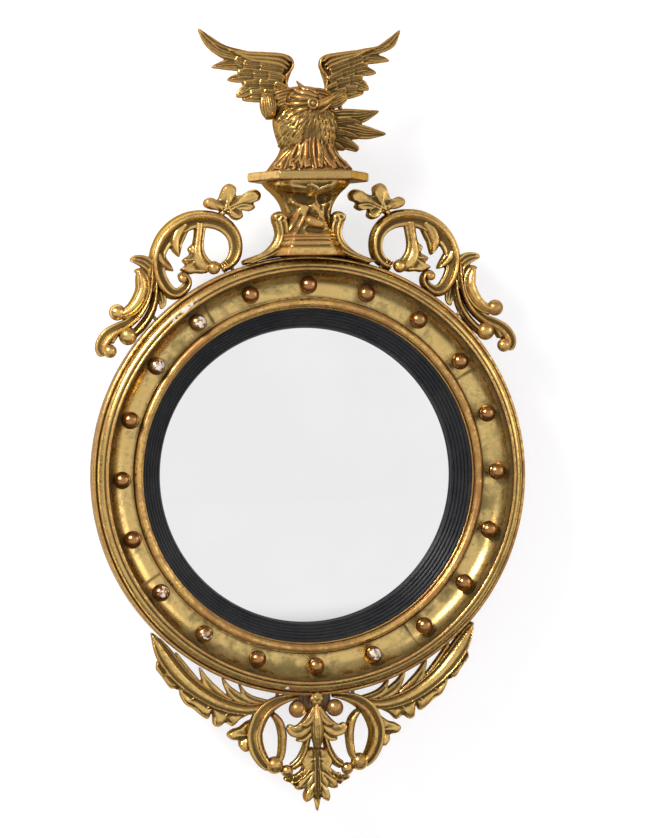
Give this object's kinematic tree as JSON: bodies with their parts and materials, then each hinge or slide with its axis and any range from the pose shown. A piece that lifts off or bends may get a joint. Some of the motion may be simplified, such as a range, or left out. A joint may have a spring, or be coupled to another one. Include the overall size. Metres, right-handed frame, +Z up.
{
  "type": "convex wall mirror",
  "caption": "Round convex wall mirror in a carved and gilded ring set with balls, with an eagle on a plinth above and a scrolled leaf apron below.",
  "frame": {"origin": "centre of the ring on the plane of the wall behind it", "axes": "+Z up, +Y into the wall, the front faces -Y and +X is on the viewer's right"},
  "size_m": [0.6, 0.1355, 1.065],
  "materials": {
    "gilt": "water-gilded carved wood over gesso, worn to umber in the hollows",
    "cove_gilt": "dull oil-gilded hollow moulding with an olive patina",
    "ball_gilt": "coppery gilding on turned wood, chipped to white gesso",
    "ebonised": "satin black lacquer on reeded wood",
    "pine": "bare aged softwood",
    "mirror": "silvered convex glass",
    "brass": "tarnished brass",
    "iron": "dull dark iron",
    "felt": "green felt"
  },
  "bodies": {
    "frame": {"acanthus_inner_leaves": "gilt", "acanthus_left": "gilt", "acanthus_right": "gilt", "apron_balls": "gilt", "apron_block": "pine", "apron_husk": "gilt", "apron_leaves": "gilt", "apron_links": "gilt", "apron_loop_left": "gilt", "apron_loop_right": "gilt", "apron_lyres": "gilt", "apron_pendant": "gilt", "apron_petals": "gilt", "apron_rosette": "gilt", "apron_spine": "gilt", "apron_strap": "iron", "back_ring": "pine", "backboard": "pine", "cavetto_segment_1": "cove_gilt", "cavetto_segment_2": "cove_gilt", "cavetto_segment_3": "cove_gilt", "cavetto_segment_4": "cove_gilt", "crest_balls": "gilt", "crest_batten": "pine", "crest_branches": "gilt", "crest_rail": "gilt", "crest_scroll_left": "gilt", "crest_scroll_right": "gilt", "crest_stems": "gilt", "crest_strap": "iron", "dowels": "pine", "eagle_body": "gilt", "eagle_head": "gilt", "eagle_tail": "gilt", "eagle_wing_left": "gilt", "eagle_wing_right": "gilt", "ebonised_slip": "ebonised", "glazing_blocks": "pine", "hanger_plates": "brass", "inner_moulding": "gilt", "mirror_plate": "mirror", "oak_leaf_left": "gilt", "oak_leaf_right": "gilt", "outer_moulding": "gilt", "outer_scroll_left": "gilt", "outer_scroll_right": "gilt", "plinth_base": "gilt", "plinth_body": "gilt", "plinth_brackets": "gilt", "plinth_platform": "gilt", "rock_mound": "gilt", "screws": "iron", "spherule_pins": "pine", "spherules": "ball_gilt", "tendril_left": "gilt", "tendril_right": "gilt", "wall_pads": "felt"},
    "ring_left": {"hanger_ring_left": "brass"},
    "ring_right": {"hanger_ring_right": "brass"}
  },
  "joints": [
    {"name": "hanger_ring_left_swing", "type": "hinge", "parent": "frame", "child": "ring_left", "pos_m": [-0.16648, -0.003, 0.21041], "axis": [1, 0, 0], "range_deg": [0, 165]},
    {"name": "hanger_ring_right_swing", "type": "hinge", "parent": "frame", "child": "ring_right", "pos_m": [0.16648, -0.003, 0.21041], "axis": [1, 0, 0], "range_deg": [0, 165]}
  ]
}
